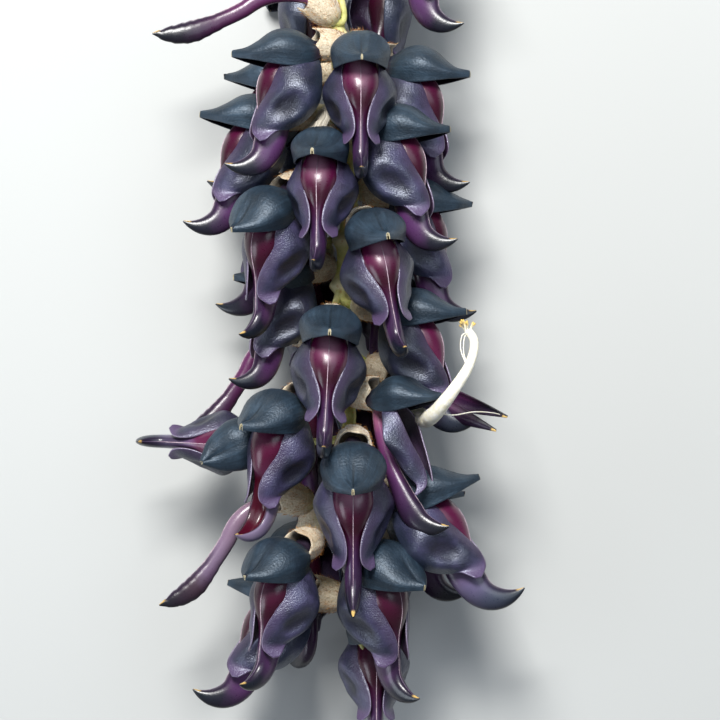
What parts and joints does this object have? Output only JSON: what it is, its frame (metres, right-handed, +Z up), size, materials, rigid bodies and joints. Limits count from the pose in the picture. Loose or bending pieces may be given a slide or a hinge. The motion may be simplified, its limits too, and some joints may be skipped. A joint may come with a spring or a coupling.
{
  "type": "mucuna nigricans flower raceme",
  "caption": "Cut hanging raceme of dark purple pea flowers, each with a folded banner, glossy wing pads and a crimson keel, on a pale green stem with tan calyces, laid on its side.",
  "frame": {"origin": "on the surface the raceme lies on, under the middle of its outline", "axes": "+Y along the raceme to its cut end, +Z up from the surface, +X to the right as seen from above with the cut end away from the viewer"},
  "size_m": [0.1408, 0.3581, 0.1008],
  "materials": {
    "rachis": "matte, finely hairy",
    "calyx": "felted with short hairs",
    "standard": "matte with a bloom",
    "wing": "waxy, glossy",
    "keel": "waxy, glossy",
    "stamen": "matte, translucent"
  },
  "bodies": {
    "root": {"rachis": "rachis", "bloom_01": "wing", "bloom_02": "keel", "bloom_03": "wing", "bloom_04": "wing", "bloom_05": "wing", "bloom_06": "wing", "bloom_08": "wing", "bloom_09": "wing", "bloom_10": "wing", "bloom_11": "wing", "bloom_12": "wing", "bloom_13": "wing", "bloom_14": "wing", "bloom_15": "wing", "bloom_16": "wing", "bloom_17": "keel", "bloom_19": "wing", "bloom_20": "wing", "bloom_21": "keel", "bloom_22": "wing", "bloom_23": "wing", "bloom_24": "wing", "bloom_25": "wing", "bloom_26": "wing", "bloom_27": "wing", "bloom_28": "wing", "bloom_29": "wing", "bloom_31": "keel", "bloom_32": "wing", "bloom_under_left_1": "wing", "bloom_under_left_2": "wing", "bloom_under_left_3": "wing", "bloom_under_left_4": "wing", "bloom_under_left_5": "wing", "bloom_under_right_1": "wing", "bloom_under_right_2": "wing", "bloom_under_right_3": "wing", "bloom_under_right_4": "wing", "bloom_under_right_5": "wing", "stamens_17": "stamen"}
  },
  "joints": []
}
